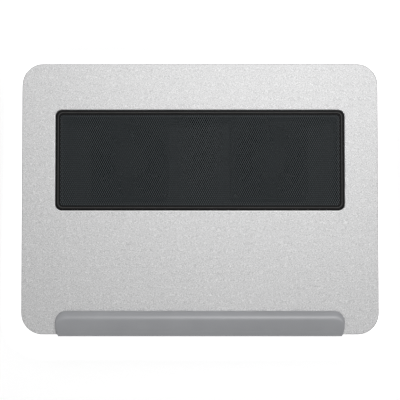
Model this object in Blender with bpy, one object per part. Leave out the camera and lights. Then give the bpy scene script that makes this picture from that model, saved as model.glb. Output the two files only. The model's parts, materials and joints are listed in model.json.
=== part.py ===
import math

import bmesh
import bpy
from mathutils import Matrix

# Sizes are in millimetres, and mm() turns them into Blender's metres.
MM = 0.001
GAP = 0.3  # between touching pieces

# The plate leans towards the front. Its own frame has X right, Y to the rear and Z up from its top face.
TILT = math.radians(5.0)
PLATE_ORIGIN = (0.0, 0.93, 27.1)
PLATE_HALF = (183.0, 139.0)
PLATE_CORNER = 22.0
PLATE_THICK = 2.0
PLATE_FILLET = 0.9

WINDOW_CENTRE = (0.0, 39.6)
WINDOW_HALF = (148.8, 51.95)
WINDOW_CORNER = 7.0
WINDOW_CHAMFER = 0.8

BEZEL_INNER_HALF = (143.6, 46.75)
BEZEL_INNER_CORNER = 3.0
# (distance out from the inner edge, height): outer band, raised bead, groove, then the rebate for the mesh
BEZEL_PROFILE = (
    (4.9, -2.0), (4.9, -1.0), (4.7, -0.8), (2.9, -0.8), (2.75, -0.1), (2.2, 0.07), (1.65, -0.1),
    (1.45, -1.1), (0.3, -1.1), (0.0, -1.2), (0.0, -1.35), (2.0, -1.35), (2.0, -2.0),
)
MESH_HALF = (145.3, 48.45)
MESH_CORNER = 4.3
MESH_HEIGHTS = (-2.0, -1.65)

FRAME_HALF = (178.0, 134.0)
FRAME_CORNER = 17.0
FRAME_OPENING_HALF = (141.5, 44.9)
FRAME_OPENING_CORNER = 3.5
FRAME_HEIGHTS = (-4.3, -2.3)

TRAY_CENTRE = (0.0, 0.92)
TRAY_HALF = (176.0, 131.5)
TRAY_CORNER = 15.0
TRAY_EDGE = 5.0
TRAY_WALL = 2.2
TRAY_BOTTOM = 3.5
TRAY_FLOOR = TRAY_BOTTOM + TRAY_WALL
TRAY_RIM = FRAME_HEIGHTS[0] - GAP  # in the plate's frame
RIB_XS = (-120.0, -60.0, 60.0, 120.0)
RIB_YS = (-130.5, -8.0)
RIB_TOP = 8.8
RIB_THICK = 1.6
VENT_XS = [40.0 + 10.0 * i for i in range(8)]
VENT_WIDTH = 3.0
VENT_HEIGHTS = (13.0, 26.0)
REAR_WALL_CUT = (129.0, 136.0)  # spans the rear wall along Y

# The long screws pass up through the tray's posts into the upper frame's bosses, at these (x, y).
POSTS = {
    "front_left": (-158.0, -90.0),
    "front_middle": (0.0, -112.0),
    "front_right": (158.0, -90.0),
    "rear_left": (-158.0, 90.0),
    "rear_middle": (0.0, 112.0),
    "rear_right": (158.0, 90.0),
}
POST_RADIUS = 4.6
POST_WEB = 2.6
POST_RECESS_RADIUS = 3.0
BOSS_RADIUS = 4.0
BOSS_LENGTH = 3.4
SCREW_HOLE_RADIUS = 1.5

FEET = {
    "front_left": (-160.0, -115.0),
    "front_right": (160.0, -115.0),
    "rear_left": (-160.0, 115.0),
    "rear_right": (160.0, 115.0),
}
# (radius, height): a pad with a peg that pushes into the tray's floor
FOOT_PROFILE = (
    (8.3, 0.0), (9.0, 0.7), (9.0, 2.7), (8.5, 3.2), (2.1, 3.2), (2.1, 6.3), (1.6, 6.9),
)
FOOT_HOLE_RADIUS = 2.5

STOPPER_HALF = 147.6
STOPPER_CORNER = 10.5
STOPPER_END_FILLET = 2.0
STOPPER_PULL = 2.5  # how far each end leans in towards the front
STOPPER_BASE = 0.3
STOPPER_FRONT = -141.0
STOPPER_REAR = -114.7
STOPPER_HOOK_REAR = -139.3
# (y, z) in the plate's frame, from the foot of the rear wall over the crest and round the plate's front edge
STOPPER_SECTION = (
    (STOPPER_REAR, STOPPER_BASE), (STOPPER_REAR, 1.2), (-115.0, 4.0), (-116.0, 6.0), (-118.0, 7.3),
    (-120.4, 7.9), (-122.4, 8.0), (-126.6, 7.4), (-131.0, 6.2), (-135.0, 4.6), (-138.2, 2.7),
    (-140.1, 1.3), (-140.9, 0.0), (STOPPER_FRONT, -1.0), (-140.5, -2.2),
    (STOPPER_HOOK_REAR, -2.2), (STOPPER_HOOK_REAR, STOPPER_BASE),
)
STOPPER_SCREWS = {"left": -110.0, "middle": 0.0, "right": 110.0}
STOPPER_SCREW_Y = -124.0

# Heights inside a fan are measured from its underside.
FAN_PLACES = {"left": (-72.0, 42.0, 6.0), "right": (72.0, 42.0, 6.0)}
FAN_HALF = 40.0
FAN_CORNER = 4.0
FAN_HEIGHT = 15.0
FAN_BORE = 38.0
FAN_HOLE_OFFSET = 35.75
FAN_HOLE_RADIUS = 2.15
STRUT_HALF_WIDTH = 1.6
STRUT_HEIGHTS = (13.0, 14.9)
HUB_PROFILE = ((2.3, 12.6), (2.3, 4.0), (3.2, 4.0), (3.2, 12.8), (16.0, 12.8), (16.0, 14.7))
BEARING_PROFILE = ((1.1, 4.6), (2.0, 4.6), (2.0, 12.2), (1.1, 12.2))
CIRCUIT_PROFILE = ((3.6, 11.1), (12.4, 11.1), (12.4, 12.2), (3.6, 12.2))
STATOR_HEIGHTS = (4.4, 10.7)
STATOR_BORE = 3.6
# (reach, angle in degrees) round one of the stator's four poles
POLE_OUTLINE = (
    (5.6, -21.0), (10.2, -11.3), (10.6, -34.0), (12.3, -34.0), (12.3, -17.0), (12.3, 0.0),
    (12.3, 17.0), (12.3, 34.0), (10.6, 34.0), (10.2, 11.3), (5.6, 21.0),
)

# Heights on a rotor are measured from the middle of its cup, ROTOR_RISE above the fan's underside.
ROTOR_RISE = 7.0
CUP_PROFILE = (
    (1.3, -4.8), (1.3, -3.3), (2.6, -3.3), (2.6, -4.0), (15.5, -4.0), (15.5, 5.0), (17.0, 5.0),
    (17.0, -4.7), (16.2, -5.5),
)
MAGNET_PROFILE = ((12.9, -3.4), (15.2, -3.4), (15.2, 4.2), (12.9, 4.2))
SHAFT_RADIUS = 1.0
SHAFT_HEIGHTS = (-4.4, 4.8)
BLADE_COUNT = 9
BLADE_RADII = (16.3, 22.0, 29.0, 36.6)
BLADE_STEPS = (0.0, 0.33, 0.67, 1.0)
BLADE_SPAN = math.radians(32.0)
BLADE_SWEEP = 0.35
BLADE_LOW = -4.6
BLADE_RISE = 9.2
BLADE_THICK = 1.2

INTAKE_RADIUS = 38.0
# (radius, height) of the guard's rim, which clips up into the intake from below
GUARD_RIM = (
    (35.4, 5.4), (37.7, 5.4), (37.7, 3.2), (39.8, 3.2), (39.8, 2.5), (39.3, 2.0), (35.4, 2.0),
)
GUARD_HOOPS = ((13.5, 18), (21.0, 24), (28.5, 30))
GUARD_HOOP_WIDTH = 1.5
GUARD_HOOP_HEIGHTS = (2.7, 4.4)
GUARD_SPOKES = 6
GUARD_SPOKE_HEIGHTS = (2.5, 4.7)
GUARD_HUB_RADIUS = 6.5

BOARD_X = (-122.0, -50.0)
BOARD_Y = (104.0, 129.6)
BOARD_Z = (11.0, 12.6)
BOARD_SCREWS = {"left": (-118.0, 109.0), "right": (-54.0, 109.0)}
BOARD_POST_RADIUS = 3.0
BOARD_HOLE_RADIUS = 1.3
CAPACITOR_PLACE = (-67.0, 111.0, 12.9)
CAPACITOR_PROFILE = ((2.1, 0.0), (2.5, 0.4), (2.5, 5.7), (2.2, 6.1))
PLUG_XS = {"left": -96.0, "right": -76.0}
PLUG_SIZE = (6.0, 4.4, 4.5)
PLUG_Y = 107.2

PART_BASE = BOARD_Z[1] + GAP  # underside of what stands on the board
SOCKET_FACE_Y = 132.2
SOCKET_SHELL = 0.4
# x of its middle, outer size (x, y, z), tongue's half width, tongue's heights above the base, depth inside
USB_PORT = (-84.0, (13.1, 14.0, 5.7), 5.4, (3.2, 4.7), 10.7)
POWER_INLET = (-62.0, (7.7, 9.2, 4.0), 2.4, (1.6, 2.4), 7.2)
SWITCH_X = -108.0
SWITCH_TRAVEL = 4.0
SWITCH_BODY_Y = (121.0, 129.8)
SWITCH_BODY_SIZE = (12.6, 5.0)
SWITCH_KNOB_Z = 15.4
SWITCH_KNOB_HALF = (2.0, 1.1)
SWITCH_COLLAR_HALF = 2.8
SWITCH_COLLAR_Y = (126.8, 128.3)
SWITCH_KNOB_END = 134.6
SWITCH_SLOT_HALF_HEIGHT = 1.5

LEAD_RADIUS = 1.1
LEADS = {
    "left": ((-74.0, 83.6, 14.0), (-78.0, 91.0, 9.5), (-90.0, 97.0, 8.6), (-95.5, 100.0, 12.4),
             (-96.0, 102.6, 15.0), (-96.0, 104.4, 15.2)),
    "right": ((70.0, 83.6, 14.0), (62.0, 91.0, 9.0), (15.0, 95.0, 7.4), (-45.0, 95.5, 7.4),
              (-70.0, 97.0, 8.2), (-75.5, 100.0, 12.4), (-76.0, 102.6, 15.0), (-76.0, 104.4, 15.2)),
}
LEAD_POINT_GAP = 5.0

SHARP_ANGLE = math.radians(30.0)

# name: (colour, roughness, metallic)
FINISHES = {
    "blasted_aluminium": ((0.62, 0.62, 0.63), 0.42, 1.0),
    "satin_black": ((0.02, 0.02, 0.021), 0.4, 0.0),
    "slate_black_paint": ((0.026, 0.03, 0.033), 0.45, 0.0),
    "grained_black": ((0.018, 0.018, 0.019), 0.6, 0.0),
    "grey_soft_touch": ((0.3, 0.31, 0.32), 0.5, 0.0),
    "black_rubber": ((0.015, 0.015, 0.015), 0.85, 0.0),
    "zinc_steel": ((0.5, 0.5, 0.51), 0.3, 1.0),
    "sintered_bronze": ((0.5, 0.32, 0.14), 0.5, 1.0),
    "bonded_ferrite": ((0.05, 0.045, 0.04), 0.7, 0.0),
    "laminated_steel": ((0.35, 0.35, 0.37), 0.45, 1.0),
    "green_board": ((0.01, 0.09, 0.03), 0.35, 0.0),
    "nickel": ((0.65, 0.65, 0.64), 0.25, 1.0),
    "natural_nylon": ((0.7, 0.66, 0.55), 0.5, 0.0),
    "blue_sleeve": ((0.01, 0.02, 0.06), 0.35, 0.0),
    "black_sheath": ((0.015, 0.015, 0.016), 0.45, 0.0),
}


def mm(values):
    return tuple(value * MM for value in values)


def plane_z(y, height):
    """World height at y of the leaning plane this far above the plate's top face."""
    return PLATE_ORIGIN[2] + (y - PLATE_ORIGIN[1]) * math.tan(TILT) + height / math.cos(TILT)


def boss_base(y):
    """World height of the lower end of the boss over a post at y."""
    return plane_z(y, FRAME_HEIGHTS[0]) - BOSS_LENGTH


# Outlines and shapes


def rounded(half, radius, steps, centre=(0.0, 0.0)):
    """Anticlockwise (x, y) outline of a rounded rectangle."""
    outline = []
    for quarter, (sx, sy) in enumerate(((1, 1), (-1, 1), (-1, -1), (1, -1))):
        for i in range(steps + 1):
            angle = math.pi / 2 * (quarter + i / steps)
            x = centre[0] + sx * (half[0] - radius) + radius * math.cos(angle)
            y = centre[1] + sy * (half[1] - radius) + radius * math.sin(angle)
            outline.append((x, y))
    return outline


def at(outline, z):
    return [(x, y, z) for x, y in outline]


def cross(reach, half_width):
    """Anticlockwise outline of a plus sign."""
    a, b = reach, half_width
    return [
        (a, -b), (a, b), (b, b), (b, a), (-b, a), (-b, b),
        (-a, b), (-a, -b), (-b, -b), (-b, -a), (b, -a), (b, -b),
    ]


def loft(rings, closed=False):
    """A closed surface through rings of equal length, with end caps or, if closed, end joined to end."""
    shape = bmesh.new()
    loops = [[shape.verts.new(mm(point)) for point in ring] for ring in rings]
    pairs = list(zip(loops, loops[1:]))
    if closed:
        pairs.append((loops[-1], loops[0]))
    else:
        shape.faces.new(reversed(loops[0]))
        shape.faces.new(loops[-1])
    for low, high in pairs:
        for i in range(len(low)):
            j = (i + 1) % len(low)
            shape.faces.new((low[i], low[j], high[j], high[i]))
    bmesh.ops.recalc_face_normals(shape, faces=shape.faces)
    return shape


def prism(outline, heights):
    return loft([at(outline, heights[0]), at(outline, heights[1])])


def box(xs, ys, zs):
    shape = bmesh.new()
    centre = [(low + high) / 2 * MM for low, high in (xs, ys, zs)]
    sides = [(high - low) * MM for low, high in (xs, ys, zs)]
    bmesh.ops.create_cube(shape, size=1.0, matrix=Matrix.LocRotScale(centre, None, sides))
    return shape


def turned(profile, steps, closed=False):
    """(radius, z) pairs turned about Z. A closed profile makes a ring."""
    angles = [2 * math.pi * i / steps for i in range(steps)]
    return loft([[(r * math.cos(a), r * math.sin(a), z) for a in angles] for r, z in profile], closed)


def rod(radius, heights, place=(0.0, 0.0), steps=12):
    return shifted(turned([(radius, heights[0]), (radius, heights[1])], steps), *place)


def shifted(shape, x=0.0, y=0.0, z=0.0):
    bmesh.ops.translate(shape, verts=shape.verts, vec=mm((x, y, z)))
    return shape


def spun(shape, angle):
    bmesh.ops.rotate(shape, verts=shape.verts, matrix=Matrix.Rotation(angle, 3, "Z"))
    return shape


def merged(shapes):
    whole = bmesh.new()
    for shape in shapes:
        piece = bpy.data.meshes.new("piece")
        shape.to_mesh(piece)
        shape.free()
        whole.from_mesh(piece)
        bpy.data.meshes.remove(piece)
    return whole


# Objects


def link(name, data, parent, place=(0.0, 0.0, 0.0)):
    obj = bpy.data.objects.new(name, data)
    bpy.context.scene.collection.objects.link(obj)
    obj.parent = parent
    obj.location = mm(place)
    return obj


def node(name, shape, finish, parent=None, place=(0.0, 0.0, 0.0)):
    mesh = bpy.data.meshes.new(name)
    shape.to_mesh(mesh)
    shape.free()
    mesh.shade_smooth()
    mesh.set_sharp_from_angle(angle=SHARP_ANGLE)
    mesh.materials.append(bpy.data.materials[finish])
    return link(name, mesh, parent, place)


def combine(target, operation, shapes, parent):
    mesh = bpy.data.meshes.new(f"{target.name}_tool")
    whole = merged(shapes)
    whole.to_mesh(mesh)
    whole.free()
    tool = link(mesh.name, mesh, parent)
    tool.hide_render = True
    tool.display_type = "WIRE"
    modifier = target.modifiers.new(operation.title(), "BOOLEAN")
    modifier.solver = "EXACT"
    modifier.operation = operation
    modifier.object = tool


def cut(target, *shapes):
    """Cuts shapes given in the target's parent frame."""
    combine(target, "DIFFERENCE", shapes, target.parent)


def fuse(target, *shapes):
    """Joins on shapes given in the target's parent frame."""
    combine(target, "UNION", shapes, target.parent)


def make_finishes():
    for name, (colour, roughness, metallic) in FINISHES.items():
        finish = bpy.data.materials.new(name)
        finish.use_nodes = True
        shader = finish.node_tree.nodes["Principled BSDF"]
        shader.inputs["Base Color"].default_value = (*colour, 1.0)
        shader.inputs["Roughness"].default_value = roughness
        shader.inputs["Metallic"].default_value = metallic


def screw(name, head_radius, head_height, shank_radius, length, parent, place):
    """A cross-head screw whose shank points up from its head."""
    angles = [math.atan2(y, x) for x, y in cross(1.0, 0.42)]

    def disc(radius, z):
        return [(radius * math.cos(a), radius * math.sin(a), z) for a in angles]

    socket = cross(head_radius * 0.6, head_radius * 0.2)
    shape = loft([
        at(socket, 0.7),
        at(socket, 0.0),
        disc(head_radius * 0.8, 0.0),
        disc(head_radius, 0.45),
        disc(head_radius, head_height),
        disc(shank_radius, head_height),
        disc(shank_radius, head_height + length - 0.6),
        disc(shank_radius * 0.45, head_height + length),
    ])
    return node(name, shape, "zinc_steel", parent, place)


# Sub-parts on the plate


def make_top_plate(plate_frame):
    def outer(inset, z):
        half = [side - inset for side in PLATE_HALF]
        return at(rounded(half, PLATE_CORNER - inset, 6), z)

    def window(grow, z):
        half = [side + grow for side in WINDOW_HALF]
        return at(rounded(half, WINDOW_CORNER + grow, 6, WINDOW_CENTRE), z)

    rings = [outer(GAP, -PLATE_THICK), outer(0.0, GAP - PLATE_THICK)]
    for degrees in (0, 30, 60, 90):
        angle = math.radians(degrees)
        rings.append(outer(PLATE_FILLET * (1 - math.cos(angle)), PLATE_FILLET * (math.sin(angle) - 1)))
    rings += [window(WINDOW_CHAMFER, 0.0), window(0.0, -WINDOW_CHAMFER), window(0.0, -PLATE_THICK)]
    plate = node("top_plate", loft(rings, closed=True), "blasted_aluminium", plate_frame)
    cut(plate, *[rod(1.6, (-3.0, 1.0), (x, STOPPER_SCREW_Y)) for x in STOPPER_SCREWS.values()])


def make_grille(plate_frame):
    rings = []
    for out, z in BEZEL_PROFILE:
        half = [side + out for side in BEZEL_INNER_HALF]
        rings.append(at(rounded(half, BEZEL_INNER_CORNER + 0.8 * out, 4, WINDOW_CENTRE), z))
    node("grille_bezel", loft(rings, closed=True), "satin_black", plate_frame)
    sheet = prism(rounded(MESH_HALF, MESH_CORNER, 5, WINDOW_CENTRE), MESH_HEIGHTS)
    node("mesh_grille", sheet, "slate_black_paint", plate_frame)


def make_upper_frame(plate_frame):
    outer = rounded(FRAME_HALF, FRAME_CORNER, 5)
    opening = rounded(FRAME_OPENING_HALF, FRAME_OPENING_CORNER, 5, WINDOW_CENTRE)
    low, high = FRAME_HEIGHTS
    rings = [at(outer, low), at(outer, high), at(opening, high), at(opening, low)]
    frame = node("upper_frame", loft(rings, closed=True), "grained_black", plate_frame)
    bosses = [rod(BOSS_RADIUS, (boss_base(y), plane_z(y, low + 1.0)), (x, y)) for x, y in POSTS.values()]
    combine(frame, "UNION", bosses, None)
    holes = [
        rod(SCREW_HOLE_RADIUS, (boss_base(y) - 1.0, plane_z(y, low + 0.7)), (x, y))
        for x, y in POSTS.values()
    ]
    combine(frame, "DIFFERENCE", holes, None)
    cut(frame, *[rod(3.2, (low - 0.7, high + 0.8), (x, STOPPER_SCREW_Y)) for x in STOPPER_SCREWS.values()])


def stopper_ring(x):
    """The stopper's section at x. Its rear corners are round in plan, and its ends lean in at the front."""
    depth = STOPPER_REAR - STOPPER_FRONT
    past = max(abs(x) - (STOPPER_HALF - STOPPER_CORNER), 0.0)
    shift = STOPPER_CORNER - math.sqrt(STOPPER_CORNER ** 2 - past ** 2)
    over = max(abs(x) - (STOPPER_HALF - STOPPER_END_FILLET), 0.0) / STOPPER_END_FILLET
    height = 1.0 - 0.25 * (1.0 - math.sqrt(1.0 - over ** 2))
    pull = max(abs(x) - 130.0, 0.0) / (STOPPER_HALF - 130.0)
    ring = []
    for y, z in STOPPER_SECTION:
        ahead = max((y - STOPPER_FRONT) / depth, 0.0)
        ring.append((
            x - math.copysign(pull * STOPPER_PULL * (1.0 - ahead) ** 2, x),
            y if y <= STOPPER_HOOK_REAR else STOPPER_FRONT + ahead * (depth - shift),
            STOPPER_BASE + (z - STOPPER_BASE) * height if z > STOPPER_BASE else z,
        ))
    return ring


def make_front_stopper(plate_frame):
    ends = []
    for degrees in (0, 15, 30, 45, 58, 70, 80):
        ends.append(STOPPER_HALF - STOPPER_CORNER * (1 - math.sin(math.radians(degrees))))
    xs = [-x for x in reversed(ends)] + ends
    stopper = node("front_stopper", loft([stopper_ring(x) for x in xs]), "grey_soft_touch", plate_frame)
    cut(stopper, *[
        rod(SCREW_HOLE_RADIUS, (-1.0, 5.0), (x, STOPPER_SCREW_Y)) for x in STOPPER_SCREWS.values()
    ])
    for name, x in STOPPER_SCREWS.items():
        place = (x, STOPPER_SCREW_Y, -3.9)
        screw(f"stopper_screw_{name}", 2.6, 1.6, 1.2, 6.4, plate_frame, place)


# The base and what is screwed to it


def tray_ring(inset, z=None):
    """An outline of the tray at height z, or on the leaning rim."""
    outline = rounded([side - inset for side in TRAY_HALF], TRAY_CORNER - inset, 5, TRAY_CENTRE)
    return [(x, y, plane_z(y, TRAY_RIM) if z is None else z) for x, y in outline]


def socket_hole(x, size):
    half = size[0] / 2 + GAP
    return box((x - half, x + half), REAR_WALL_CUT, (PART_BASE - GAP, PART_BASE + size[2] + GAP))


def make_base_tray():
    arc = [math.radians(degrees) for degrees in (0, 30, 60, 90)]
    inner_edge = TRAY_EDGE - TRAY_WALL
    rings = []
    for a in arc:
        inset = TRAY_EDGE * (1 - math.sin(a))
        rings.append(tray_ring(inset, TRAY_BOTTOM + TRAY_EDGE * (1 - math.cos(a))))
    rings += [tray_ring(0.0), tray_ring(TRAY_WALL)]
    for a in reversed(arc):
        inset = TRAY_WALL + inner_edge * (1 - math.sin(a))
        rings.append(tray_ring(inset, TRAY_FLOOR + inner_edge * (1 - math.cos(a))))
    tray = node("base_tray", loft(rings), "grained_black")

    sunk = TRAY_FLOOR - 1.0
    below = TRAY_BOTTOM - 2.5
    above = TRAY_FLOOR + 3.3
    tops = {place: boss_base(place[1]) - GAP for place in POSTS.values()}
    fuse(
        tray,
        *[rod(POST_RADIUS, (sunk, top), place) for place, top in tops.items()],
        *[rod(BOARD_POST_RADIUS, (sunk, BOARD_Z[0] - GAP), place) for place in BOARD_SCREWS.values()],
        *[box((x - RIB_THICK / 2, x + RIB_THICK / 2), RIB_YS, (sunk + 0.1, RIB_TOP)) for x in RIB_XS],
    )
    fans = [(x, y) for x, y, _ in FAN_PLACES.values()]
    corners = [(x + side * s * FAN_HOLE_OFFSET, y + s * FAN_HOLE_OFFSET)
               for (x, y), side in zip(fans, (-1, 1)) for s in (-1, 1)]
    cut(
        tray,
        *[rod(POST_RECESS_RADIUS, (below, top - POST_WEB), place) for place, top in tops.items()],
        *[rod(FOOT_HOLE_RADIUS, (below, above), place) for place in FEET.values()],
        *[rod(INTAKE_RADIUS, (below, above), place, 36) for place in fans],
        *[rod(2.0, (below, above), place) for place in corners],
        *[rod(1.2, (7.0, 12.0), place) for place in BOARD_SCREWS.values()],
    )
    slot_half = SWITCH_KNOB_HALF[0] + SWITCH_TRAVEL / 2 + 0.7
    cut(
        tray,
        *[rod(SCREW_HOLE_RADIUS, (top - POST_WEB - 1.0, top + 1.0), place) for place, top in tops.items()],
        *[box((x - VENT_WIDTH / 2, x + VENT_WIDTH / 2), REAR_WALL_CUT, VENT_HEIGHTS) for x in VENT_XS],
        socket_hole(*USB_PORT[:2]),
        socket_hole(*POWER_INLET[:2]),
        box((SWITCH_X - slot_half, SWITCH_X + slot_half), REAR_WALL_CUT,
            (SWITCH_KNOB_Z - SWITCH_SLOT_HALF_HEIGHT, SWITCH_KNOB_Z + SWITCH_SLOT_HALF_HEIGHT)),
    )


def make_tray_screws():
    head_height = 1.6
    for name, (x, y) in POSTS.items():
        base = boss_base(y) - POST_WEB - 2 * GAP - head_height
        length = plane_z(y, FRAME_HEIGHTS[0]) - GAP - base - head_height
        screw(f"tray_screw_{name}", 2.6, head_height, 1.2, length, None, (x, y, base))


def make_feet():
    for name, (x, y) in FEET.items():
        node(f"foot_{name}", turned(FOOT_PROFILE, 18), "black_rubber", None, (x, y, 0.0))


def make_intake_guard(side):
    x, y, _ = FAN_PLACES[side]
    guard = node(f"intake_guard_{side}", shifted(turned(GUARD_RIM, 36, closed=True), x, y), "grained_black")
    low, high = GUARD_HOOP_HEIGHTS
    hoops = []
    for radius, steps in GUARD_HOOPS:
        outer = radius + GUARD_HOOP_WIDTH
        section = [(radius, low), (radius, high), (outer, high), (outer, low)]
        hoops.append(turned(section, steps, closed=True))
    hub = rod(GUARD_HUB_RADIUS, GUARD_HOOP_HEIGHTS)
    fuse(guard, *[shifted(shape, x, y) for shape in hoops + [hub]])
    spokes = []
    for i in range(GUARD_SPOKES):
        spoke = box((5.0, 36.4), (-1.0, 1.0), GUARD_SPOKE_HEIGHTS)
        spokes.append(shifted(spun(spoke, math.radians(30 + 60 * i)), x, y))
    fuse(guard, *spokes)


# Fans


def blade_point(radius, s):
    """A point on a blade's middle surface, s along its chord from the low leading edge."""
    reach = (radius - BLADE_RADII[0]) / (BLADE_RADII[-1] - BLADE_RADII[0])
    angle = BLADE_SWEEP * reach + BLADE_SPAN * s
    return (radius * math.cos(angle), radius * math.sin(angle), BLADE_LOW + BLADE_RISE * s ** 0.9)


def blade_normal(radius, s):
    a = blade_point(radius, s)
    b = blade_point(radius + 0.1, s)
    c = blade_point(radius, max(s - 0.02, 0.001))
    d = blade_point(radius, min(s + 0.02, 1.0))
    p = [b[i] - a[i] for i in range(3)]
    q = [d[i] - c[i] for i in range(3)]
    n = (p[1] * q[2] - p[2] * q[1], p[2] * q[0] - p[0] * q[2], p[0] * q[1] - p[1] * q[0])
    size = math.hypot(*n)
    return [k / size for k in n]


def blade():
    rings = []
    for radius in BLADE_RADII:
        upper, lower = [], []
        for s in BLADE_STEPS:
            point, normal = blade_point(radius, s), blade_normal(radius, s)
            half = BLADE_THICK / (4 if s in (0.0, 1.0) else 2)
            upper.append([point[i] + half * normal[i] for i in range(3)])
            lower.append([point[i] - half * normal[i] for i in range(3)])
        rings.append(upper + lower[::-1])
    return loft(rings)


def make_fan_frame(side, fan):
    shape = prism(rounded((FAN_HALF, FAN_HALF), FAN_CORNER, 4), (0.0, FAN_HEIGHT))
    frame = node(f"fan_frame_{side}", shape, "satin_black", fan)
    through = (-2.0, FAN_HEIGHT + 2.0)
    holes = [
        rod(FAN_HOLE_RADIUS, through, (sx * FAN_HOLE_OFFSET, sy * FAN_HOLE_OFFSET))
        for sx in (-1, 1) for sy in (-1, 1)
    ]
    cut(frame, rod(FAN_BORE, through, steps=40), *holes)
    fuse(frame, spun(prism(cross(FAN_BORE + 0.9, STRUT_HALF_WIDTH), STRUT_HEIGHTS), math.radians(45)))
    fuse(frame, turned(HUB_PROFILE, 20))


def make_motor(side, fan):
    node(f"fan_bearing_{side}", turned(BEARING_PROFILE, 16, closed=True), "sintered_bronze", fan)
    node(f"fan_circuit_{side}", turned(CIRCUIT_PROFILE, 20, closed=True), "green_board", fan)
    outline = []
    for quarter in range(4):
        for reach, degrees in POLE_OUTLINE:
            angle = math.radians(degrees + 90 * quarter)
            outline.append((reach * math.cos(angle), reach * math.sin(angle)))
    stator = node(f"fan_stator_{side}", prism(outline, STATOR_HEIGHTS), "laminated_steel", fan)
    cut(stator, rod(STATOR_BORE, (STATOR_HEIGHTS[0] - 1.0, STATOR_HEIGHTS[1] + 1.0)))


def make_rotor(side, fan):
    rotor = link(f"rotor_axis_{side}", None, fan, (0.0, 0.0, ROTOR_RISE))
    impeller = node(f"fan_impeller_{side}", turned(CUP_PROFILE, 24), "satin_black", rotor)
    fuse(impeller, *[spun(blade(), 2 * math.pi * i / BLADE_COUNT) for i in range(BLADE_COUNT)])
    node(f"fan_magnet_{side}", turned(MAGNET_PROFILE, 24, closed=True), "bonded_ferrite", rotor)
    node(f"fan_shaft_{side}", rod(SHAFT_RADIUS, SHAFT_HEIGHTS), "zinc_steel", rotor)


def make_fan(side):
    fan = link(f"fan_{side}", None, None, FAN_PLACES[side])
    make_fan_frame(side, fan)
    make_motor(side, fan)
    make_rotor(side, fan)
    outward = math.copysign(FAN_HOLE_OFFSET, FAN_PLACES[side][0])
    for name, sign in (("front", -1), ("rear", 1)):
        place = (sign * outward, sign * FAN_HOLE_OFFSET, -4.4)
        screw(f"fan_screw_{side}_{name}", 3.0, 1.6, 1.6, 10.0, fan, place)


# The board, its sockets, the switch and the leads


def make_board():
    board = node("usb_board", box(BOARD_X, BOARD_Y, BOARD_Z), "green_board")
    through = (BOARD_Z[0] - 2, BOARD_Z[1] + 2)
    cut(board, *[rod(BOARD_HOLE_RADIUS, through, place) for place in BOARD_SCREWS.values()])
    for name, (x, y) in BOARD_SCREWS.items():
        fastener = screw(f"board_screw_{name}", 2.2, 1.3, 0.9, 5.0, None, (x, y, 14.2))
        fastener.rotation_euler.x = math.pi
    node("capacitor", turned(CAPACITOR_PROFILE, 16), "blue_sleeve", None, CAPACITOR_PLACE)
    half_x, half_y = PLUG_SIZE[0] / 2, PLUG_SIZE[1] / 2
    for side, x in PLUG_XS.items():
        plug = box((-half_x, half_x), (-half_y, half_y), (0.0, PLUG_SIZE[2]))
        node(f"fan_plug_{side}", plug, "natural_nylon", None, (x, PLUG_Y, PART_BASE))


def make_socket(name, x, size, tongue_half, tongue_heights, depth):
    """A steel shell, open at the rear, with a tongue that grows from its inner end."""
    width, length, height = size
    socket = node(name, box((-width / 2, width / 2), (-length, 0.0), (0.0, height)), "nickel", None,
                  (x, SOCKET_FACE_Y, PART_BASE))
    half = width / 2 - SOCKET_SHELL
    cut(socket, shifted(box((-half, half), (-depth, 2.0), (SOCKET_SHELL, height - SOCKET_SHELL)),
                        x, SOCKET_FACE_Y, PART_BASE))
    fuse(socket, shifted(box((-tongue_half, tongue_half), (-depth - 0.8, -1.0), tongue_heights),
                         x, SOCKET_FACE_Y, PART_BASE))


def make_switch():
    half_x = SWITCH_BODY_SIZE[0] / 2
    base = PART_BASE
    body = node("switch_body", box((SWITCH_X - half_x, SWITCH_X + half_x), SWITCH_BODY_Y,
                                   (base, base + SWITCH_BODY_SIZE[1])), "satin_black")
    low, high = SWITCH_KNOB_Z - SWITCH_SLOT_HALF_HEIGHT, SWITCH_KNOB_Z + SWITCH_SLOT_HALF_HEIGHT
    room = SWITCH_COLLAR_HALF + SWITCH_TRAVEL / 2 + GAP
    mouth = SWITCH_KNOB_HALF[0] + SWITCH_TRAVEL / 2 + 0.4
    cut(body, box((SWITCH_X - room, SWITCH_X + room),
                  (SWITCH_COLLAR_Y[0] - GAP, SWITCH_COLLAR_Y[1] + GAP), (low, high)))
    cut(body, box((SWITCH_X - mouth, SWITCH_X + mouth), (127.5, 131.0), (low + 0.1, high - 0.1)))

    half, collar = SWITCH_KNOB_HALF[0], SWITCH_COLLAR_HALF
    near, far = SWITCH_COLLAR_Y
    end = SWITCH_KNOB_END
    right = [(collar, near), (collar, far), (half, far), (half, end - 0.4), (half - 0.4, end)]
    outline = right + [(-x, y) for x, y in reversed(right)]
    knob = prism(outline, (-SWITCH_KNOB_HALF[1], SWITCH_KNOB_HALF[1]))
    node("switch_slider", knob, "satin_black", None, (SWITCH_X - SWITCH_TRAVEL / 2, 0.0, SWITCH_KNOB_Z))


def smooth_route(points):
    """Catmull-Rom points through the given ones, about LEAD_POINT_GAP apart."""
    route = []
    for i in range(len(points) - 1):
        p0, p1 = points[max(i - 1, 0)], points[i]
        p2, p3 = points[i + 1], points[min(i + 2, len(points) - 1)]
        steps = max(2, round(math.dist(p1, p2) / LEAD_POINT_GAP))
        for t in [step / steps for step in range(steps)]:
            route.append([
                b + 0.5 * t * (c - a + t * (2 * a - 5 * b + 4 * c - d + t * (3 * b - a - 3 * c + d)))
                for a, b, c, d in zip(p0, p1, p2, p3)
            ])
    return route + [points[-1]]


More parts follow.
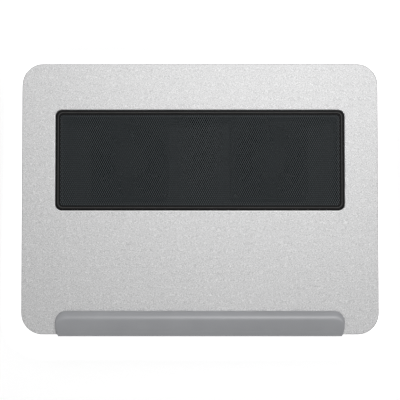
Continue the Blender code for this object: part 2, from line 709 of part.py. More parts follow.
def make_lead(side):
    curve = bpy.data.curves.new(f"fan_lead_{side}", "CURVE")
    curve.dimensions = "3D"
    curve.bevel_depth = LEAD_RADIUS * MM
    curve.bevel_resolution = 2
    curve.use_fill_caps = True
    route = smooth_route(LEADS[side])
    spline = curve.splines.new("POLY")
    spline.points.add(len(route) - 1)
    for point, place in zip(spline.points, route):
        point.co = (*mm(place), 1.0)
    curve.materials.append(bpy.data.materials["black_sheath"])
    link(curve.name, curve, None)


def main():
    for obj in list(bpy.data.objects):
        bpy.data.objects.remove(obj, do_unlink=True)
    make_finishes()
    plate_frame = link("plate_frame", None, None, PLATE_ORIGIN)
    plate_frame.rotation_euler.x = TILT
    make_top_plate(plate_frame)
    make_grille(plate_frame)
    make_upper_frame(plate_frame)
    make_front_stopper(plate_frame)
    make_base_tray()
    make_tray_screws()
    make_feet()
    for side in FAN_PLACES:
        make_intake_guard(side)
        make_fan(side)
        make_lead(side)
    make_board()
    make_socket("usb_port", *USB_PORT)
    make_socket("power_inlet", *POWER_INLET)
    make_switch()


main()
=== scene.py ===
import json
import math

import bmesh
import bpy
from mathutils import Matrix, Vector


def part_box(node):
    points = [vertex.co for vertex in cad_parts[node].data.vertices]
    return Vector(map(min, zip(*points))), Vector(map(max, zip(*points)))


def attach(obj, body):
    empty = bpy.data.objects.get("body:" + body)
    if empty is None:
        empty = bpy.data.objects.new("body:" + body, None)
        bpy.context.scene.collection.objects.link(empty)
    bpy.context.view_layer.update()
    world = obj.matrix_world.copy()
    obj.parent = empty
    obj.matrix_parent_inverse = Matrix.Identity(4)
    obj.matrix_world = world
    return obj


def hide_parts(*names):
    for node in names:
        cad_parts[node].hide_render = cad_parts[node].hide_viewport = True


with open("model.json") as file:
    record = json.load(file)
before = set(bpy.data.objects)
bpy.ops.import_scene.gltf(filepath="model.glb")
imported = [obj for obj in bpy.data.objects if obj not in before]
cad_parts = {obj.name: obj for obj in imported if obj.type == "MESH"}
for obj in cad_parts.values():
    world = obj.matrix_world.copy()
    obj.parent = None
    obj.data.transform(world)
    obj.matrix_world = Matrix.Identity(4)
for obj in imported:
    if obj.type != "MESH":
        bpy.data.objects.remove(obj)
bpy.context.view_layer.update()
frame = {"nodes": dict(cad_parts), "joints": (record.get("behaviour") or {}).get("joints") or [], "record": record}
nodes = frame["nodes"]
scene = bpy.context.scene
mm = 0.001  # sizes below are in millimetres
past = 1.0  # how far a cutting shape runs past the surface that it cuts
print("frame loaded")

# The plate leans towards the front. Its own frame has X right, Y to the rear and Z up from its top face.
plate = {
    "half": (183.0, 139.0), "corner": 22.0, "cornerSteps": 24, "thick": 2.0, "fillet": 0.9, "lowerEdge": 0.3,
    "widestShare": 0.85,  # of the thickness, from the top face down to the widest part of the rim
    "screwHole": 1.6,
}
laptopFace = next(mount for mount in frame["record"]["mounts"] if mount["name"] == "laptop_face")
tilt = math.atan2(-laptopFace["axis"][1], laptopFace["axis"][2])
plateLow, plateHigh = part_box("top_plate")
plateY = (plateLow.y + plateHigh.y) / 2 - math.sin(tilt) * plate["widestShare"] * plate["thick"] * mm
plateZ = laptopFace["pos_m"][2] - (laptopFace["pos_m"][1] - plateY) * math.tan(tilt)
onPlate = Matrix.Translation((0.0, plateY, plateZ)) @ Matrix.Rotation(tilt, 4, "X")


def leaningZ(y, height):  # world height in mm, at y, of the plane this far above the plate's top face
    return plateZ / mm + (y - plateY / mm) * math.tan(tilt) + height / math.cos(tilt)


# Outlines and shapes

def rounded(half, corner, steps, centre=(0.0, 0.0)):  # anticlockwise outline of a rounded rectangle
    outline = []
    for quarter, (sx, sy) in enumerate(((1, 1), (-1, 1), (-1, -1), (1, -1))):
        for i in range(steps + 1):
            angle = math.pi / 2 * (quarter + i / steps)
            x = centre[0] + sx * (half[0] - corner) + corner * math.cos(angle)
            y = centre[1] + sy * (half[1] - corner) + corner * math.sin(angle)
            outline.append((x, y))
    return outline


def level(outline, z):
    return [(x, y, z) for x, y in outline]


def skin(rings, closed=False, others=None):  # a closed surface through rings of equal length
    shape = bmesh.new()
    loops = [[shape.verts.new([value * mm for value in point]) for point in ring] for ring in rings]
    pairs = list(zip(loops, loops[1:]))
    if closed:
        pairs.append((loops[-1], loops[0]))
    else:
        shape.faces.new(reversed(loops[0]))
        shape.faces.new(loops[-1])
    for band, (low, high) in enumerate(pairs):
        for i in range(len(low)):
            j = (i + 1) % len(low)
            face = shape.faces.new((low[i], low[j], high[j], high[i]))
            face.material_index = (others or {}).get(band, 0)
    bmesh.ops.recalc_face_normals(shape, faces=shape.faces)
    return shape


def turned(profile, steps, closed=False):  # (radius, z) pairs turned about Z
    angles = [2 * math.pi * i / steps for i in range(steps)]
    return skin([[(r * math.cos(a), r * math.sin(a), z) for a in angles] for r, z in profile], closed)


def block(xs, ys, zs):
    shape = bmesh.new()
    centre = [(low + high) / 2 * mm for low, high in (xs, ys, zs)]
    sides = [(high - low) * mm for low, high in (xs, ys, zs)]
    bmesh.ops.create_cube(shape, size=1.0, matrix=Matrix.LocRotScale(centre, None, sides))
    return shape


def moved(shape, matrix):
    bmesh.ops.transform(shape, matrix=matrix, verts=shape.verts)
    return shape


def shifted(shape, x=0.0, y=0.0, z=0.0):
    return moved(shape, Matrix.Translation((x * mm, y * mm, z * mm)))


def merged(shapes):
    whole = bmesh.new()
    for shape in shapes:
        piece = bpy.data.meshes.new("piece")
        shape.to_mesh(piece)
        shape.free()
        whole.from_mesh(piece)
        bpy.data.meshes.remove(piece)
    return whole


def arc(centre, radius, first, last, steps):  # points round an arc, in degrees
    points = []
    for i in range(steps + 1):
        angle = math.radians(first + (last - first) * i / steps)
        points.append((centre[0] + radius * math.cos(angle), centre[1] + radius * math.sin(angle)))
    return points


def nodesNamed(start):
    return sorted(name for name in nodes if name.startswith(start))


def middles(start):  # (x, y) in mm of the middle of each CAD node named so
    places = []
    for name in nodesNamed(start):
        low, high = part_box(name)
        places.append(((low.x + high.x) / 2 / mm, (low.y + high.y) / 2 / mm))
    return places


def rods(radius, bottom, top, places, steps=24):
    return [shifted(turned([(radius, bottom), (radius, top)], steps), x, y) for x, y in places]


def newObject(name, shape):
    mesh = bpy.data.meshes.new(name)
    shape.to_mesh(mesh)
    shape.free()
    obj = bpy.data.objects.new(name, mesh)
    scene.collection.objects.link(obj)
    return obj


def bake(obj):  # turns the object's modifiers into plain mesh
    plain = bpy.data.meshes.new_from_object(obj.evaluated_get(bpy.context.evaluated_depsgraph_get()))
    obj.modifiers.clear()
    obj.data = plain
    plain.name = obj.name
    return obj


def carve(obj, steps):  # each step is an operation and the shapes it takes
    tools = []
    for operation, shapes in steps:
        tool = newObject(f"{obj.name}Tool{len(tools)}", merged(shapes))
        modifier = obj.modifiers.new(operation.title(), "BOOLEAN")
        modifier.solver = "EXACT"
        modifier.operation = operation
        modifier.object = tool
        tools.append(tool)
    bake(obj)
    for tool in tools:
        bpy.data.objects.remove(tool)
    return obj


def finishPiece(obj, material, body, replaced=(), sharp=30.0, secondMaterial=None):
    picks = [face.material_index for face in obj.data.polygons]
    obj.data.materials.clear()
    obj.data.materials.append(material)
    if secondMaterial:
        obj.data.materials.append(secondMaterial)
        for face, pick in zip(obj.data.polygons, picks):
            face.material_index = pick
    obj.data.shade_smooth()
    obj.data.set_sharp_from_angle(angle=math.radians(sharp))
    weighted = obj.modifiers.new("Weighted Normal", "WEIGHTED_NORMAL")  # keeps large flat faces flat
    weighted.keep_sharp = True
    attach(obj, body)
    if replaced:
        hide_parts(*replaced)
    return obj


# Node trees

def hexColour(code):  # sRGB hex to the linear colour that shaders take
    channels = [int(code[i:i + 2], 16) / 255 for i in (1, 3, 5)]
    linear = [c / 12.92 if c <= 0.04045 else ((c + 0.055) / 1.055) ** 2.4 for c in channels]
    return (*linear, 1.0)


# Adds a node. An input is a value, a node (its first output), a socket, or a list of these where one socket
# joins several. "to" names the shader's socket that the node feeds, and "stops" are a ramp's (position,
# colour) pairs.
def addNode(tree, kind, inputs=None, to=None, stops=(), **settings):
    node = tree.nodes.new(kind)
    for name, value in settings.items():
        setattr(node, name, value)
    for i, (position, code) in enumerate(stops):
        elements = node.color_ramp.elements
        element = elements[i] if i < 2 else elements.new(position)
        element.position = position
        element.color = hexColour(code)
    for key, given in (inputs or {}).items():
        for value in given if isinstance(given, list) else [given]:
            if isinstance(value, bpy.types.Node):
                value = value.outputs[0]
            if isinstance(value, bpy.types.NodeSocket):
                tree.links.new(value, node.inputs[key])
            else:
                node.inputs[key].default_value = value
    if to:
        tree.links.new(node.outputs[0], tree.nodes["Principled BSDF"].inputs[to])
    return node


def newMaterial(name, constants):
    material = bpy.data.materials.new(name)
    material.use_nodes = True
    tree = material.node_tree
    for socket, value in constants.items():
        tree.nodes["Principled BSDF"].inputs[socket].default_value = value
    return material, tree, addNode(tree, "ShaderNodeTexCoord").outputs["Object"]


# Bead-blasted aluminium, clear anodised: a pale neutral metal that scatters light, with a fine sparkle of
# grit. Real grit is 0.1 to 0.2 mm; it is drawn about 0.65 mm wide so that it shows from arm's length.
def sandblastedAluminium():
    material, tree, place = newMaterial("sandblastedAluminium", {"Metallic": 1.0})
    grit = addNode(tree, "ShaderNodeTexNoise", {
        "Vector": place, "Scale": 1 / (0.65 * mm), "Detail": 1.0, "Roughness": 0.8,
    })
    fine = addNode(tree, "ShaderNodeTexNoise", {"Vector": place, "Scale": 1 / (0.35 * mm), "Detail": 2.0})
    addNode(tree, "ShaderNodeValToRGB", {"Fac": grit}, "Base Color", ((0.3, "#a3a3a4"), (0.7, "#e4e4e4")))
    addNode(tree, "ShaderNodeMapRange", {"Value": grit, "To Min": 0.56, "To Max": 0.66}, "Roughness")
    addNode(tree, "ShaderNodeBump", {"Height": fine, "Distance": 0.02 * mm, "Strength": 0.6}, "Normal")
    return material


# The window's chamfer, cut with a diamond tool after anodising: bare and bright, so it draws a light line.
def diamondCut():
    material, tree, place = newMaterial("diamondCut", {"Metallic": 1.0})
    lay = addNode(tree, "ShaderNodeTexNoise", {"Vector": place, "Scale": 1 / (0.5 * mm), "Detail": 2.0})
    addNode(tree, "ShaderNodeValToRGB", {"Fac": lay}, "Base Color", ((0.3, "#efeff0"), (0.7, "#f8f8f8")))
    addNode(tree, "ShaderNodeMapRange", {"Value": lay, "To Min": 0.3, "To Max": 0.36}, "Roughness")
    return material


# Injection-moulded ABS with a satin skin: near black, with a soft highlight on its edges.
def satinAbs():
    material, tree, place = newMaterial("satinAbs", {"IOR": 1.5, "Specular IOR Level": 0.08})
    haze = addNode(tree, "ShaderNodeTexNoise", {"Vector": place, "Scale": 1 / (4.0 * mm), "Detail": 4.0})
    addNode(tree, "ShaderNodeValToRGB", {"Fac": haze}, "Base Color", ((0.3, "#0f0f10"), (0.7, "#131314")))
    addNode(tree, "ShaderNodeMapRange", {"Value": haze, "To Min": 0.44, "To Max": 0.54}, "Roughness")
    return material


# The top of the bezel's bead: the same ABS painted a shade greyer, a painted highlight where the bead catches
# light.
def rubbedAbs():
    material, tree, place = newMaterial("rubbedAbs", {"IOR": 1.5, "Specular IOR Level": 0.3})
    beadTone = addNode(tree, "ShaderNodeTexNoise", {"Vector": place, "Scale": 1 / (6.0 * mm), "Detail": 3.0})
    addNode(tree, "ShaderNodeValToRGB", {"Fac": beadTone}, "Base Color", ((0.3, "#303030"), (0.7, "#373736")))
    addNode(tree, "ShaderNodeMapRange", {"Value": beadTone, "To Min": 0.46, "To Max": 0.54}, "Roughness")
    return material


# ABS moulded against a spark-eroded tool: black, with a grain about 0.4 mm wide that kills the gloss.
def grainedAbs():
    material, tree, place = newMaterial("grainedAbs", {"Specular IOR Level": 0.25})
    grain = addNode(tree, "ShaderNodeTexVoronoi", {"Vector": place, "Scale": 1 / (0.45 * mm)})
    haze = addNode(tree, "ShaderNodeTexNoise", {"Vector": place, "Scale": 1 / (9.0 * mm), "Detail": 5.0})
    addNode(tree, "ShaderNodeValToRGB", {"Fac": haze}, "Base Color", ((0.3, "#141416"), (0.7, "#191a1c")))
    addNode(tree, "ShaderNodeMapRange", {"Value": grain, "To Min": 0.5, "To Max": 0.66}, "Roughness")
    addNode(tree, "ShaderNodeBump", {"Height": grain, "Distance": 0.05 * mm, "Strength": 0.7}, "Normal")
    return material


# Moulded silicone with a soft-touch coat: mid grey, satin, with a fine tooth and no sharp reflection.
def softTouchSilicone():
    material, tree, place = newMaterial("softTouchSilicone", {"IOR": 1.5, "Sheen Weight": 0.1})
    tooth = addNode(tree, "ShaderNodeTexNoise", {"Vector": place, "Scale": 1 / (0.9 * mm), "Detail": 3.0})
    cloud = addNode(tree, "ShaderNodeTexNoise", {"Vector": place, "Scale": 1 / (30.0 * mm), "Detail": 2.0})
    addNode(tree, "ShaderNodeValToRGB", {"Fac": cloud}, "Base Color", ((0.3, "#98999c"), (0.7, "#9d9ea1")))
    addNode(tree, "ShaderNodeMapRange", {"Value": tooth, "To Min": 0.35, "To Max": 0.43}, "Roughness")
    addNode(tree, "ShaderNodeBump", {"Height": tooth, "Distance": 0.02 * mm, "Strength": 0.4}, "Normal")
    return material


# Glass-filled PBT, as fans are moulded from: dull black and dry, so the fans hardly show through the sheet.
def fanPbt():
    material, tree, place = newMaterial("fanPbt", {"Specular IOR Level": 0.12})
    glass = addNode(tree, "ShaderNodeTexNoise", {"Vector": place, "Scale": 1 / (1.2 * mm), "Detail": 3.0})
    addNode(tree, "ShaderNodeValToRGB", {"Fac": glass}, "Base Color", ((0.3, "#111112"), (0.7, "#171719")))
    addNode(tree, "ShaderNodeMapRange", {"Value": glass, "To Min": 0.62, "To Max": 0.72}, "Roughness")
    return material


# Moulded rubber: black, matt, a little dusty.
def footRubber():
    material, tree, place = newMaterial("footRubber", {"IOR": 1.52})
    dust = addNode(tree, "ShaderNodeTexNoise", {"Vector": place, "Scale": 1 / (2.0 * mm), "Detail": 6.0})
    addNode(tree, "ShaderNodeValToRGB", {"Fac": dust}, "Base Color", ((0.35, "#18181a"), (0.75, "#27272a")))
    addNode(tree, "ShaderNodeMapRange", {"Value": dust, "To Min": 0.7, "To Max": 0.9}, "Roughness")
    addNode(tree, "ShaderNodeBump", {"Height": dust, "Distance": 0.03 * mm, "Strength": 0.5}, "Normal")
    return material


# Zinc-plated steel: cool bright grey with faint tool marks.
def zincSteel():
    material, tree, place = newMaterial("zincSteel", {"Metallic": 1.0})
    marks = addNode(tree, "ShaderNodeTexNoise", {"Vector": place, "Scale": 1 / (0.6 * mm), "Detail": 4.0})
    addNode(tree, "ShaderNodeValToRGB", {"Fac": marks}, "Base Color", ((0.3, "#a3a6aa"), (0.7, "#bdbfc2")))
    addNode(tree, "ShaderNodeMapRange", {"Value": marks, "To Min": 0.22, "To Max": 0.4}, "Roughness")
    return material


# Nickel-plated brass strip, as sockets are stamped from: warm bright grey, drawn along its length.
def nickelPlate():
    material, tree, place = newMaterial("nickelPlate", {"Metallic": 1.0})
    along = addNode(tree, "ShaderNodeMapping", {"Vector": place, "Scale": (1.0, 0.1, 1.0)})
    drawn = addNode(tree, "ShaderNodeTexNoise", {"Vector": along, "Scale": 1 / (0.3 * mm), "Detail": 3.0})
    addNode(tree, "ShaderNodeValToRGB", {"Fac": drawn}, "Base Color", ((0.3, "#b9b6ae"), (0.7, "#cfccc4")))
    addNode(tree, "ShaderNodeMapRange", {"Value": drawn, "To Min": 0.18, "To Max": 0.3}, "Roughness")
    return material


# Glass-epoxy board under green solder mask: dark green, glossy, with the weave faintly showing.
def solderMask():
    material, tree, place = newMaterial("solderMask", {"Roughness": 0.3})
    weave = addNode(tree, "ShaderNodeTexWave", {"Vector": place, "Scale": 1 / (3.0 * mm), "Distortion": 0.5})
    green = ((0.2, "#0c3a20"), (0.8, "#10482a"))
    addNode(tree, "ShaderNodeValToRGB", {"Fac": weave.outputs["Fac"]}, "Base Color", green)
    return material


# Plain inner finishes: one moulded or metal colour each, broken up by a fine mottling.
def innerFinish(name, dark, light, roughness, metallic=0.0):
    material, tree, place = newMaterial(name, {"Metallic": metallic})
    mottle = addNode(tree, "ShaderNodeTexNoise", {"Vector": place, "Scale": 1 / (1.5 * mm), "Detail": 4.0})
    low, high = roughness - 0.06, roughness + 0.06
    addNode(tree, "ShaderNodeValToRGB", {"Fac": mottle}, "Base Color", ((0.3, dark), (0.7, light)))
    addNode(tree, "ShaderNodeMapRange", {"Value": mottle, "To Min": low, "To Max": high}, "Roughness")
    return material


aluminiumFinish = sandblastedAluminium()
cutFinish = diamondCut()
satinFinish = satinAbs()
beadHighlightFinish = rubbedAbs()
grainedFinish = grainedAbs()
siliconeFinish = softTouchSilicone()
rubberFinish = footRubber()
fanFinish = fanPbt()
zincFinish = zincSteel()
nickelFinish = nickelPlate()
boardFinish = solderMask()
print("materials made")


# Geometry Nodes: each tree gets named inputs, and ends in Realize Instances and Set Material.

def newTree(name, inputs):
    tree = bpy.data.node_groups.new(name, "GeometryNodeTree")
    tree.interface.new_socket("Geometry", in_out="INPUT", socket_type="NodeSocketGeometry")
    tree.interface.new_socket("Geometry", in_out="OUTPUT", socket_type="NodeSocketGeometry")
    for label, kind in inputs.items():
        tree.interface.new_socket(label, in_out="INPUT", socket_type=f"NodeSocket{kind}")
    given = tree.nodes.new("NodeGroupInput").outputs
    return tree, given


def endTree(tree, geometry, material):
    real = addNode(tree, "GeometryNodeRealizeInstances", {"Geometry": geometry})
    dressed = addNode(tree, "GeometryNodeSetMaterial", {"Geometry": real, "Material": material})
    addNode(tree, "NodeGroupOutput", {"Geometry": dressed})


def grow(obj, tree, values):  # runs the tree on the object and keeps the result as plain mesh
    modifier = obj.modifiers.new(tree.name, "NODES")
    modifier.node_group = tree
    for item in tree.interface.items_tree:
        if item.item_type == "SOCKET" and item.in_out == "INPUT" and item.name in values:
            modifier[item.identifier] = values[item.name]
    return bake(obj)


def perforatedTree(material):  # a sheet of staggered round holes, its cells side by side, thickened downwards
    tree, given = newTree("perforatedSheet", {
        "Columns": "Int", "Rows": "Int", "Pitch": "Float", "Row Step": "Float", "Hole Radius": "Float",
        "Thickness": "Float",
    })
    pitch, rowStep = given["Pitch"], given["Row Step"]
    index = addNode(tree, "GeometryNodeInputIndex")
    odd = addNode(tree, "ShaderNodeMath", {0: index, 1: 2.0}, operation="MODULO")
    share = addNode(tree, "ShaderNodeMath", {0: odd, 1: 0.5}, operation="MULTIPLY")
    stagger = addNode(tree, "ShaderNodeMath", {0: share, 1: pitch}, operation="MULTIPLY")
    rowOffset = addNode(tree, "ShaderNodeCombineXYZ", {"Y": rowStep})
    column = addNode(tree, "GeometryNodeMeshLine", {"Count": given["Rows"], "Offset": rowOffset})
    shift = addNode(tree, "ShaderNodeCombineXYZ", {"X": stagger})
    starts = addNode(tree, "GeometryNodeSetPosition", {"Geometry": column, "Offset": shift})
    holeOffset = addNode(tree, "ShaderNodeCombineXYZ", {"X": pitch})
    row = addNode(tree, "GeometryNodeMeshLine", {"Count": given["Columns"], "Offset": holeOffset})
    lines = addNode(tree, "GeometryNodeInstanceOnPoints", {"Points": starts, "Instance": row})
    centres = addNode(tree, "GeometryNodeRealizeInstances", {"Geometry": lines})
    edge = addNode(tree, "GeometryNodeCurvePrimitiveQuadrilateral", {"Width": pitch, "Height": rowStep})
    split = addNode(tree, "GeometryNodeSubdivideCurve", {"Curve": edge, "Cuts": 1})
    hole = addNode(tree, "GeometryNodeCurvePrimitiveCircle", {
        "Resolution": 8, "Radius": given["Hole Radius"],
    })
    both = addNode(tree, "GeometryNodeJoinGeometry", {"Geometry": [split, hole]})
    cell = addNode(tree, "GeometryNodeFillCurve", {"Curve": both})
    cells = addNode(tree, "GeometryNodeInstanceOnPoints", {"Points": centres, "Instance": cell})
    flat = addNode(tree, "GeometryNodeRealizeInstances", {"Geometry": cells})
    gap = 0.02 * mm  # points nearer than this are one
    top = addNode(tree, "GeometryNodeMergeByDistance", {"Geometry": flat, "Distance": gap})
    walls = addNode(tree, "GeometryNodeExtrudeMesh", {
        "Mesh": top, "Offset Scale": given["Thickness"], "Individual": False,
    })
    under = addNode(tree, "GeometryNodeFlipFaces", {"Mesh": top})
    whole = addNode(tree, "GeometryNodeJoinGeometry", {"Geometry": [walls, under]})
    sewn = addNode(tree, "GeometryNodeMergeByDistance", {"Geometry": whole, "Distance": gap})
    endTree(tree, sewn, material)
    return tree


def ringCopiesTree(material):  # copies of the object's own mesh, turned about Z
    tree, given = newTree("ringCopies", {"Count": "Int"})
    points = addNode(tree, "GeometryNodeMeshLine", {"Count": given["Count"], "Offset": (0.0, 0.0, 0.0)})
    index = addNode(tree, "GeometryNodeInputIndex")
    step = addNode(tree, "ShaderNodeMath", {0: 2 * math.pi, 1: given["Count"]}, operation="DIVIDE")
    angle = addNode(tree, "ShaderNodeMath", {0: index, 1: step}, operation="MULTIPLY")
    turn = addNode(tree, "ShaderNodeCombineXYZ", {"Z": angle})
    copies = addNode(tree, "GeometryNodeInstanceOnPoints", {
        "Points": points, "Instance": given["Geometry"], "Rotation": turn,
    })
    endTree(tree, copies, material)
    return tree


def placedCopiesTree(material):  # a copy of the object's own mesh at each point of another object
    tree, given = newTree("placedCopies", {"Places": "Object"})
    places = addNode(tree, "GeometryNodeObjectInfo", {"Object": given["Places"]}).outputs["Geometry"]
    copies = addNode(tree, "GeometryNodeInstanceOnPoints", {"Points": places, "Instance": given["Geometry"]})
    endTree(tree, copies, material)
    return tree


# Top plate

window = {
    "centre": (0.0, 39.6), "half": (148.8, 51.95), "corner": 7.0, "chamfer": 0.7, "chamferDepth": 0.45,
    "arris": 0.02, "arrisOuter": 0.05, "arrisInner": 0.03,  # softened edges of the chamfer
}


def makeTopPlate():
    steps = plate["cornerSteps"]

    def outer(inset, z):
        half = [side - inset for side in plate["half"]]
        return level(rounded(half, plate["corner"] - inset, steps), z)

    def opening(grow, z):
        half = [side + grow for side in window["half"]]
        return level(rounded(half, window["corner"] + grow, steps, window["centre"]), z)

    fillet, thick, lowerEdge = plate["fillet"], plate["thick"], plate["lowerEdge"]
    chamfer, cutDepth, arris = window["chamfer"], window["chamferDepth"], window["arris"]
    rings = [outer(lowerEdge, -thick), outer(0.0, lowerEdge - thick)]
    for inset, z in arc((fillet, -fillet), fillet, 180.0, 90.0, 6):
        rings.append(outer(inset, z))
    rings += [opening(chamfer + window["arrisOuter"], 0.0), opening(chamfer, -arris)]
    rings += [opening(window["arrisInner"], arris - cutDepth), opening(0.0, -cutDepth), opening(0.0, -thick)]
    cutBands = {band: 1 for band in range(len(rings) - 5, len(rings) - 2)}  # the three bands of the chamfer
    obj = newObject("topPlate", moved(skin(rings, closed=True, others=cutBands), onPlate))
    obj.data.materials.append(aluminiumFinish)
    obj.data.materials.append(cutFinish)
    low = plateLow.z / mm
    carve(obj, [("DIFFERENCE", rods(plate["screwHole"], low - past, low + 8.0, middles("stopper_screw")))])
    finishPiece(obj, aluminiumFinish, "base", ["top_plate"], secondMaterial=cutFinish)


# Grille: the black bezel ring and the perforated sheet in it

bezel = {
    "half": (143.6, 46.75),
    "corner": 3.0,
    # (distance out from the inner edge, height): outer band, raised bead, groove, rebate for the sheet
    "profile": (
        (4.9, -2.0), (4.9, -1.0), (4.84, -0.88), (4.7, -0.8), (3.0, -0.8), (2.9, -0.75), (2.83, -0.2),
        (2.7, -0.05), (2.5, 0.03), (2.2, 0.07), (1.9, 0.03), (1.7, -0.05), (1.57, -0.2), (1.47, -1.02),
        (1.35, -1.1), (0.3, -1.1), (0.06, -1.13), (0.0, -1.2), (0.0, -1.35), (2.0, -1.35), (2.0, -2.0),
    ),
    # the bead's top is painted a shade greyer, as a painted highlight
    "highlightBands": (7, 8, 9, 10),  # the bead's top
    "cornerGrowth": 0.8,  # of the distance out
    "cornerSteps": 12,
}
sheet = {
    "columns": 138, "rows": 47, "pitch": 2.1, "rowStep": 2.06, "holeRadius": 0.8, "thickness": 0.4,
    "bottom": -2.0,
}


def makeBezel():
    rings = []
    for out, z in bezel["profile"]:
        half = [side + out for side in bezel["half"]]
        corner = bezel["corner"] + bezel["cornerGrowth"] * out
        rings.append(level(rounded(half, corner, bezel["cornerSteps"], window["centre"]), z))
    # the bead's top gets the greyer ABS: a painted highlight
    highlighted = {band: 1 for band in bezel["highlightBands"]}
    obj = newObject("grilleBezel", moved(skin(rings, closed=True, others=highlighted), onPlate))
    finishPiece(obj, satinFinish, "base", ["grille_bezel"], secondMaterial=beadHighlightFinish)


# Powder-coated steel sheet: slate black, slightly bluish, with the coat's faint orange peel. The bridges
# between neighbouring holes are painted paler, a painted highlight, so the sheet reads as fine pale dots.
def slatePowderCoat(firstHole):
    material, tree, place = newMaterial("slatePowderCoat", {"Specular IOR Level": 0.15})
    stepX = 2 * math.pi / (sheet["pitch"] * mm)
    stepY = math.pi / (sheet["rowStep"] * mm * math.cos(tilt))
    turns = addNode(tree, "ShaderNodeMapping", {
        "Vector": place, "Scale": (stepX, stepY, 0.0),
        "Location": (-stepX * firstHole.x, -stepY * firstHole.y, 0.0),
    })
    waves = addNode(tree, "ShaderNodeVectorMath", {0: turns}, operation="COSINE")
    axes = addNode(tree, "ShaderNodeSeparateXYZ", {"Vector": waves})
    across, along = axes.outputs["X"], axes.outputs["Y"]
    lattice = addNode(tree, "ShaderNodeMath", {0: across, 1: along}, operation="MULTIPLY")
    bridge = addNode(tree, "ShaderNodeMapRange", {"Value": lattice, "From Min": -1.0, "From Max": 1.0})
    # pale on the bridges: painted highlight; dark elsewhere: the slate coat
    paint = ((0.0, "#535a5e"), (0.2, "#42494c"), (0.36, "#1c2123"))
    addNode(tree, "ShaderNodeValToRGB", {"Fac": bridge}, "Base Color", paint)
    peel = addNode(tree, "ShaderNodeTexNoise", {"Vector": place, "Scale": 1 / (0.8 * mm), "Detail": 2.0})
    addNode(tree, "ShaderNodeMapRange", {"Value": peel, "To Min": 0.46, "To Max": 0.58}, "Roughness")
    addNode(tree, "ShaderNodeBump", {"Height": peel, "Distance": 0.02 * mm, "Strength": 0.5}, "Normal")
    return material


def makePerforatedSheet():
    pitch, rowStep = sheet["pitch"], sheet["rowStep"]
    startX = -(sheet["columns"] / 2 - 0.25) * pitch  # every second row reaches half a pitch further
    startY = window["centre"][1] - (sheet["rows"] - 1) / 2 * rowStep
    firstHole = onPlate @ Vector((startX * mm, startY * mm, sheet["bottom"] * mm))
    finish = slatePowderCoat(firstHole)
    tree = perforatedTree(finish)
    leftColumns = sheet["columns"] // 2
    rightColumns = sheet["columns"] - leftColumns
    for name, columns, skipped in (("Left", leftColumns, 0), ("Right", rightColumns, leftColumns)):
        obj = grow(newObject(f"meshSheet{name}", bmesh.new()), tree, {
            "Columns": columns, "Rows": sheet["rows"], "Pitch": pitch * mm, "Row Step": rowStep * mm,
            "Hole Radius": sheet["holeRadius"] * mm, "Thickness": sheet["thickness"] * mm,
        })
        place = ((startX + skipped * pitch) * mm, startY * mm, sheet["bottom"] * mm)
        obj.data.transform(onPlate @ Matrix.Translation(place))
        finishPiece(obj, finish, "base", ["mesh_grille"])
        print(obj.name, len(obj.data.polygons), "faces")


# Front stopper

stopper = {
    "half": 147.6, "corner": 10.5, "endFillet": 2.0, "endDrop": 0.25, "pull": 2.5, "pullFrom": 130.0,
    "base": 0.3, "rear": -114.7, "front": -141.0, "hookRear": -139.3, "sharp": 40.0,
    "middleXs": [-130.0, -100.0, -50.0, 0.0, 50.0, 100.0, 130.0],
    "screwHole": 1.5, "screwGap": 0.4, "screwReach": 8.0,
    # (y, z) on the plate, from the foot of the rear wall over the crest to the nose
    "back": (
        (-114.7, 0.3), (-114.7, 1.2), (-115.1, 3.4), (-116.2, 5.3), (-118.2, 6.8), (-120.4, 7.7),
        (-122.5, 8.05), (-124.2, 8.0), (-127.0, 7.5), (-131.0, 6.4), (-135.0, 4.8), (-138.2, 2.9),
        (-140.1, 1.3), (-140.9, 0.0), (-141.0, -1.0),
    ),
    "hook": ((-140.9, -1.8), (-140.5, -2.2), (-139.3, -2.2), (-139.3, 0.3)),
}


def smoothed(points, steps):  # Catmull-Rom points through the given ones
    route = []
    for i in range(len(points) - 1):
        p0, p1 = points[max(i - 1, 0)], points[i]
        p2, p3 = points[i + 1], points[min(i + 2, len(points) - 1)]
        for t in [step / steps for step in range(steps)]:
            route.append(tuple(
                0.5 * (
                    2 * b + (c - a) * t
                    + (2 * a - 5 * b + 4 * c - d) * t ** 2 + (3 * b - a - 3 * c + d) * t ** 3
                )
                for a, b, c, d in zip(p0, p1, p2, p3)
            ))
    return route + [points[-1]]


def stopperRing(x, section):
    depth = stopper["rear"] - stopper["front"]
    past = max(abs(x) - (stopper["half"] - stopper["corner"]), 0.0)
    shift = stopper["corner"] - math.sqrt(stopper["corner"] ** 2 - past ** 2)
    over = max(abs(x) - (stopper["half"] - stopper["endFillet"]), 0.0) / stopper["endFillet"]
    height = 1.0 - stopper["endDrop"] * (1.0 - math.sqrt(max(1.0 - over ** 2, 0.0)))
    pull = max(abs(x) - stopper["pullFrom"], 0.0) / (stopper["half"] - stopper["pullFrom"])
    base = stopper["base"]
    ring = []
    for y, z in section:
        ahead = min(max((y - stopper["front"]) / depth, 0.0), 1.0)
        ring.append((
            x - math.copysign(pull * stopper["pull"] * (1.0 - ahead) ** 2, x),
            y if y <= stopper["hookRear"] else stopper["front"] + ahead * (depth - shift),
            base + (z - base) * height if z > base else z,
        ))
    return ring


